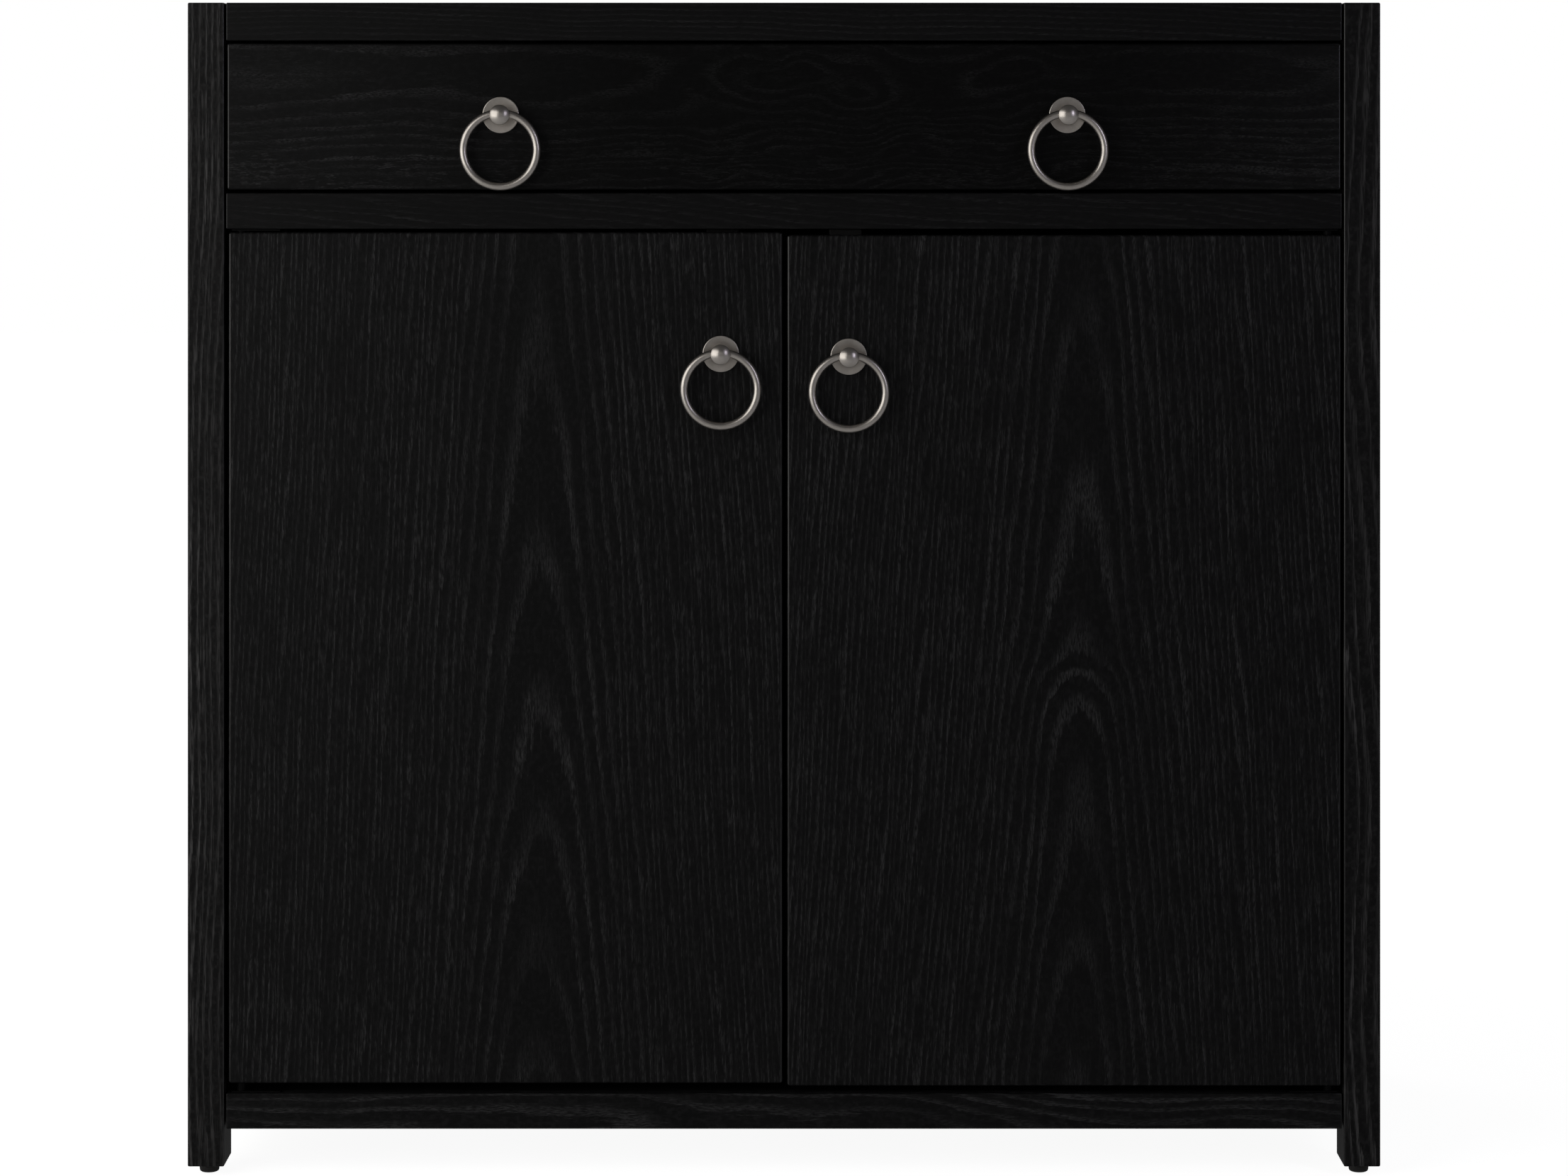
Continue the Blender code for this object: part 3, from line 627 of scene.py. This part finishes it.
def add_fronts():
    """The doors and the drawer front, cut for their bushes, shanks and drawer bottom."""
    front_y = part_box("drawer_front")[0].y
    for side, (heart, arches) in DOOR_FIGURES.items():
        node = f"{side}_door"
        middle = centre_of(node)
        wood = oak(f"oak_{node}", Z, X, heart, arches=arches, phase=SIDES[side] * 1.7, origin=(middle.x, front_y, 0))
        door = fine_board(node, wood, FRONT_EASE)
        cut(door, [*bush_recesses(side), shank_bore(node)])
    middle = centre_of("drawer_front")
    # the drawer front's middle gets painted shade: its colour is darkened there, standing in for the shade the
    # lighting gives it
    wood = oak("oak_drawer", X, Z, 0.030, depth=0.050, taper=0.012, swirl=0.034, period=0.0050, phase=5.2,
               wander=0.012, grain=0.0024, streaky=0.9, light=0.75, painted_shade=0.62, origin=(0.060, front_y, middle.z))
    front = fine_board("drawer_front", wood, FRONT_EASE)
    cut(front, [shank_bore("drawer_left"), shank_bore("drawer_right"), grown(*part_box("drawer_bottom"))])


def add_frame_boards():
    front_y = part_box("drawer_front")[0].y
    for number, (node, heart, taper, light) in enumerate(RAIL_FIGURES):
        across = Y if node == "top_panel" else Z
        wood = oak(f"oak_{node}", X, across, heart, depth=0.05, taper=taper, period=0.0038, phase=1.3 + 2.1 * number,
                   wander=0.010, streaky=0.4, light=light,
                   origin=(0, front_y, centre_of(node).z))
        fine_board(node, wood, RAIL_EASE)
    for number, end in enumerate(("front", "rear")):
        for side, sign in SIDES.items():
            node = f"{end}_{side}_leg"
            middle = centre_of(node)
            heart, taper, period, wander, streaky, light = LEG_FIGURES[side]
            wood = oak(f"oak_{node}", Z, X, heart, depth=0.03, taper=taper, period=period, phase=3.1 * number + sign,
                       wander=wander, grain=0.013, streaky=streaky, light=light, base=LEG_BASE, band=LEG_BAND, origin=tuple(middle))
            leg = fine_board(node, wood, LEG_EASE)
            foot_low, foot_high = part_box(f"foot_glide_{end}_{side}")
            nail = Vector((middle.x, middle.y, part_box(node)[0].z))
            cut(leg, [rod_mesh(nail, 0.0018, 2 * (foot_high.z - nail.z + CLEARANCE))])


def add_panels():
    panels = oak("oak_panels", X, Y, 0.02, phase=1.1)
    for node in ("cabinet_floor", "drawer_divider", "adjustable_shelf"):
        fine_board(node, panels, PANEL_EASE)
    fine_board("back_panel", oak("oak_back", Z, X, 0.05, phase=4.4), PANEL_EASE)
    for side, sign in SIDES.items():
        node = f"{side}_side_panel"
        middle = centre_of(node)
        origin = (middle.x + sign * 0.014, middle.y, 0)
        paint(node, oak(f"oak_{node}", Z, Y, 0.02 * sign, phase=6.0 + sign, origin=origin))
    box_wood = oak("oak_drawer_box", Y, X, base=(0.030, 0.027, 0.024), band=(0.055, 0.050, 0.045),
                   dash=(0.080, 0.074, 0.068))
    for node in ("drawer_left_side", "drawer_right_side", "drawer_back", "drawer_bottom"):
        paint(node, box_wood)


def screw_mesh(radius, dome):
    """A screw head that faces +Z, with a cross recess. dome is how far it stands up in the middle."""
    sphere = (radius * radius + dome * dome) / (2 * dome)
    edge = math.degrees(math.acos(radius / sphere))
    profile = [(0, -0.0006), (radius * 0.6, -0.0006), (radius, -0.0001), *arc((0, dome - sphere), sphere, edge, 90, 8)]
    head = new_object("screw_head", turned_mesh(profile, 40))
    reach, half, deep = radius * 0.62, radius * 0.11, dome - 0.0007
    arms = [box_mesh((-reach, -half, deep), (reach, half, dome * 2)), box_mesh((-half, -reach, deep), (half, reach, dome * 2))]
    cut(head, arms)
    mesh = head.data
    bpy.data.objects.remove(head)
    return mesh


def add_screws(name, mesh, places, facing, steel, body):
    """Screws that share one mesh, with their heads facing one way and their slots turned by steps."""
    turn = Vector((0, 0, 1)).rotation_difference(Vector(facing)).to_matrix().to_4x4()
    for number, place in enumerate(places, start=1):
        screw = bpy.data.objects.new(f"{name}_{number}", mesh)
        bpy.context.scene.collection.objects.link(screw)
        screw.matrix_world = Matrix.Translation(place) @ turn @ Matrix.Rotation(number * 1.1, 4, "Z")
        if not mesh.materials:
            mesh.materials.append(steel)
        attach(screw, body)


def add_hinge_screws(dark_steel):
    mesh = screw_mesh(SCREW_RADIUS, 0.0004)
    for side, sign in SIDES.items():
        pivot = hinge_axis(side)
        for end, facing in (("top", -1), ("bottom", 1)):
            for half, way in (("pivot", facing), ("bush", -facing)):
                node = f"{side}_door_{end}_{half}"
                low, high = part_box(node)
                outward = PLATE_THICKNESS if half == "pivot" else 0.0
                root = (high.z if way < 0 else low.z) if half == "pivot" else (low.z if way < 0 else high.z)
                z = root + way * (outward + SCREW_PROUD - 0.0004)
                y = (low.y + high.y) / 2
                places = [Vector((pivot.x - sign * inward, y, z)) for inward in PLATE_SCREWS]
                add_screws(f"{node}_screw", mesh, places, (0, 0, way), dark_steel, BODY_OF[node])


def add_back_screws(steel):
    mesh = screw_mesh(BACK_SCREW_RADIUS, 0.0014)
    low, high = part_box("back_panel")
    inset = 0.012
    columns = [low.x + inset + (high.x - low.x - 2 * inset) * i / 4 for i in range(5)]
    rows = [low.z + inset + (high.z - low.z - 2 * inset) * i / 4 for i in range(5)]
    places = [Vector((x, high.y, z)) for z in (rows[0], rows[-1]) for x in columns]
    places += [Vector((x, high.y, z)) for z in rows[1:-1] for x in (columns[0], columns[-1])]
    add_screws("back_panel_screw", mesh, places, (0, 1, 0), steel, "root")


def add_catch_details(steel):
    """A strike plate on each door's back, and the catches' pole plates that face it."""
    mesh = screw_mesh(0.0022, 0.0003)
    for side in SIDES:
        low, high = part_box(f"{side}_magnetic_catch")
        door_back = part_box(f"{side}_door")[1].y
        top = min(high.z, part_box(f"{side}_door")[1].z - 0.001)
        bm = box_mesh((low.x, door_back + 0.00005, low.z), (high.x, door_back + 0.0007, top))
        strike = add_piece(f"{side}_door_strike_plate", bm, steel, f"{side}_door", smooth=True)
        bevel = strike.modifiers.new("ease", "BEVEL")
        bevel.width = 0.0003
        bevel.segments = 3
        middle = (low + high) / 2
        place = Vector((middle.x, door_back + 0.0005, (low.z + top) / 2))
        add_screws(f"{side}_door_strike_screw", mesh, [place], (0, 1, 0), steel, f"{side}_door")
        for number, z in enumerate((low.z + 0.0035, top - 0.0035), start=1):
            bm = box_mesh((low.x + 0.003, low.y - 0.0001, z - 0.0006), (high.x - 0.003, low.y + 0.006, z + 0.0006))
            pole = add_piece(f"{side}_catch_pole_{number}", bm, steel, "root")


def add_glides(material):
    """Round glides: a rounded foot, a groove and a flat top with a nail in it."""
    for end in ("front", "rear"):
        for side in SIDES:
            node = f"foot_glide_{end}_{side}"
            low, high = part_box(node)
            leg_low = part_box(f"{end}_{side}_leg")[0].z
            radius = (high.x - low.x) / 2
            top = leg_low - low.z - CLEARANCE
            profile = [
                (0, 0),
                (radius * 0.72, 0),
                *arc((radius * 0.72, radius * 0.24), radius * 0.24, -80, -10, 6),
                (radius * 0.985, top * 0.45),
                (radius, top * 0.5),
                (radius, top * 0.62),
                (radius * 0.93, top * 0.66),
                (radius * 0.93, top * 0.74),
                (radius, top * 0.78),
                *arc((radius * 0.96, top * 0.95), radius * 0.04, 0, 90, 3),
                (0.0015, top),
                (0.0015, high.z - low.z - 0.002),
                (0, high.z - low.z),
            ]
            bm = turned_mesh(profile)
            bmesh.ops.translate(bm, vec=((low.x + high.x) / 2, (low.y + high.y) / 2, low.z), verts=bm.verts)
            glide = add_piece(f"{node}_fine", bm, material, "root", smooth=True)
            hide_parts(node)


# ---------------------------------------------------------------- stage
CAMERA_DISTANCE = 3.0
CAMERA_HEIGHT = 0.783
CAMERA_LENS = 89.9
CAMERA_SHIFT = -0.27595
FLOOR_SIZE = 14.0
FLOOR_GLOW = 0.93
FLOOR_BOUNCE = 0.12
WORLD_DIM = 0.05


def add_camera(front_y):
    """An upright camera with a falling lens. A curve on its height keeps the shift for its own place only."""
    data = bpy.data.cameras.new("camera")
    camera = bpy.data.objects.new("camera", data)
    bpy.context.scene.collection.objects.link(camera)
    bpy.context.scene.camera = camera
    data.lens = CAMERA_LENS
    data.sensor_width = 36.0
    data.clip_end = 60.0
    camera.location = (0, front_y - CAMERA_DISTANCE, CAMERA_HEIGHT)
    camera.rotation_euler = (math.radians(90), 0, 0)
    curve = data.driver_add("shift_y")
    curve.driver.type = "SUM"
    height = curve.driver.variables.new()
    height.type = "TRANSFORMS"
    height.targets[0].id = camera
    height.targets[0].transform_type = "LOC_Z"
    height.targets[0].transform_space = "WORLD_SPACE"
    for modifier in list(curve.modifiers):
        curve.modifiers.remove(modifier)
    for away, shift in ((-0.04, 0.0), (-0.02, CAMERA_SHIFT), (0.02, CAMERA_SHIFT), (0.04, 0.0)):
        point = curve.keyframe_points.insert(CAMERA_HEIGHT + away, shift)
        point.interpolation = "LINEAR"
    curve.extrapolation = "CONSTANT"


def seen_as(graph_nodes, links, seen, other, output):
    """Joins a shader for camera rays and one for all others."""
    path = graph_nodes.new("ShaderNodeLightPath")
    mix = graph_nodes.new("ShaderNodeMixShader")
    links.new(path.outputs["Is Camera Ray"], mix.inputs[0])
    links.new(other, mix.inputs[1])
    links.new(seen, mix.inputs[2])
    links.new(mix.outputs[0], output)


def add_world():
    world = bpy.data.worlds.new("studio")
    bpy.context.scene.world = world
    world.use_nodes = True
    nodes, links = world.node_tree.nodes, world.node_tree.links
    dim = nodes["Background"]
    dim.inputs["Color"].default_value = (1.0, 0.98, 0.97, 1.0)
    dim.inputs["Strength"].default_value = WORLD_DIM
    white = nodes.new("ShaderNodeBackground")
    white.inputs["Color"].default_value = (1, 1, 1, 1)
    white.inputs["Strength"].default_value = 1.0
    seen_as(nodes, links, white.outputs[0], dim.outputs[0], nodes["World Output"].inputs["Surface"])


def add_floor():
    """A white floor that blends into the background, with a trace of the object's shadow."""
    bm = bmesh.new()
    bmesh.ops.create_grid(bm, x_segments=1, y_segments=1, size=FLOOR_SIZE)
    floor = new_object("floor", bm)
    material = bpy.data.materials.new("pale_floor")
    material.use_nodes = True
    nodes, links = material.node_tree.nodes, material.node_tree.links
    shader = nodes["Principled BSDF"]
    shader.inputs["Base Color"].default_value = (0.5, 0.5, 0.5, 1)
    shader.inputs["Roughness"].default_value = 0.9
    shader.inputs["Specular IOR Level"].default_value = 0.0
    near = nodes.new("ShaderNodeEmission")
    distance = nodes.new("ShaderNodeVectorMath")
    distance.operation = "LENGTH"
    links.new(nodes.new("ShaderNodeTexCoord").outputs["Object"], distance.inputs[0])
    ramp = nodes.new("ShaderNodeMapRange")
    for socket, number in zip(ramp.inputs[1:], (0.8, 2.4, FLOOR_GLOW, 1.0)):
        socket.default_value = number
    links.new(distance.outputs["Value"], ramp.inputs[0])
    links.new(ramp.outputs[0], near.inputs["Strength"])
    seen = nodes.new("ShaderNodeAddShader")
    links.new(shader.outputs[0], seen.inputs[0])
    links.new(near.outputs[0], seen.inputs[1])
    bounce = nodes.new("ShaderNodeEmission")
    bounce.inputs["Strength"].default_value = FLOOR_BOUNCE
    other = nodes.new("ShaderNodeAddShader")
    links.new(shader.outputs[0], other.inputs[0])
    links.new(bounce.outputs[0], other.inputs[1])
    seen_as(nodes, links, seen.outputs[0], other.outputs[0], nodes["Material Output"].inputs["Surface"])
    floor.data.materials.append(material)


def add_softbox(name, place, aim, size, radiance, colour):
    """A rectangular light whose power follows from its brightness and size."""
    data = bpy.data.lights.new(name, "AREA")
    data.shape = "RECTANGLE"
    data.size, data.size_y = size
    data.energy = radiance * math.pi * size[0] * size[1]
    data.color = colour
    light = bpy.data.objects.new(name, data)
    bpy.context.scene.collection.objects.link(light)
    light.location = place
    direction = Vector(aim) - Vector(place)
    light.rotation_euler = direction.to_track_quat("-Z", "Y").to_euler()




def add_lights():
    left, middle = (-0.3, 0, 0.45), (0, 0, 0.45)
    add_softbox("key_left", (-1.6, -1.25, 0.95), left, (2.2, 1.6), 1.3, (1.0, 0.985, 0.96))
    add_softbox("fill_front", (0.2, -3.6, 1.2), middle, (2.0, 0.9), 0.20, (1.0, 0.98, 0.96))
    add_softbox("strip_right", (1.75, -1.95, 1.3), middle, (0.28, 1.1), 4.8, (0.84, 0.82, 1.0))
    add_softbox("rear_left", (-1.8, 2.2, 1.6), middle, (1.4, 1.4), 1.0, (1.0, 1.0, 1.0))
    add_softbox("rear_right", (1.9, 2.0, 1.5), middle, (1.2, 1.4), 1.2, (1.0, 1.0, 1.0))


# ---------------------------------------------------------------- build
LEG_BASE = (0.0078, 0.0077, 0.0077)
LEG_BAND = (0.120, 0.118, 0.117)
DOOR_FIGURES = {
    "left": (0.027, (0.090, 0.175, 0.259, 0.344, 0.457, 0.620)),
    "right": (0.012, (0.145, 0.256, 0.349, 0.383, 0.403, 0.510, 0.630)),
}
RAIL_FIGURES = (
    ("top_panel", -0.03, 0.02, 0.44),
    ("middle_rail", -0.05, 0.06, 0.34),
    ("bottom_rail", -0.02, 0.02, 1.35),
)
LEG_FIGURES = {
    "left": (0.040, 0.014, 0.0052, 0.009, 0.80, 0.8),
    "right": (0.034, -0.030, 0.0095, 0.016, 0.20, 0.7),
}


def build():
    nickel, steel, dark_steel = satin_nickel(), zinc_steel(), black_steel()
    glide = moulded_plastic("glide_nylon", (0.014, 0.013, 0.012), (0.024, 0.022, 0.021))
    catch = moulded_plastic("catch_plastic", (0.012, 0.0115, 0.011), (0.018, 0.017, 0.016))
    add_fronts()
    add_frame_boards()
    add_panels()
    for name in ("drawer_left", "drawer_right", "left_door", "right_door"):
        add_ring_pull(name, nickel, steel)
    for node in NODES:
        if "slide_" in node or "shelf_pin" in node:
            paint(node, steel)
        elif node.endswith(("_pivot", "_bush")):
            paint(node, dark_steel)
        elif "catch" in node:
            paint(node, catch)
    add_glides(glide)
    add_hinge_screws(dark_steel)
    add_back_screws(steel)
    add_catch_details(steel)
    add_floor()
    add_world()
    add_lights()
    add_camera(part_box("front_left_leg")[0].y)
    bpy.context.scene.view_settings.view_transform = "Standard"


build()
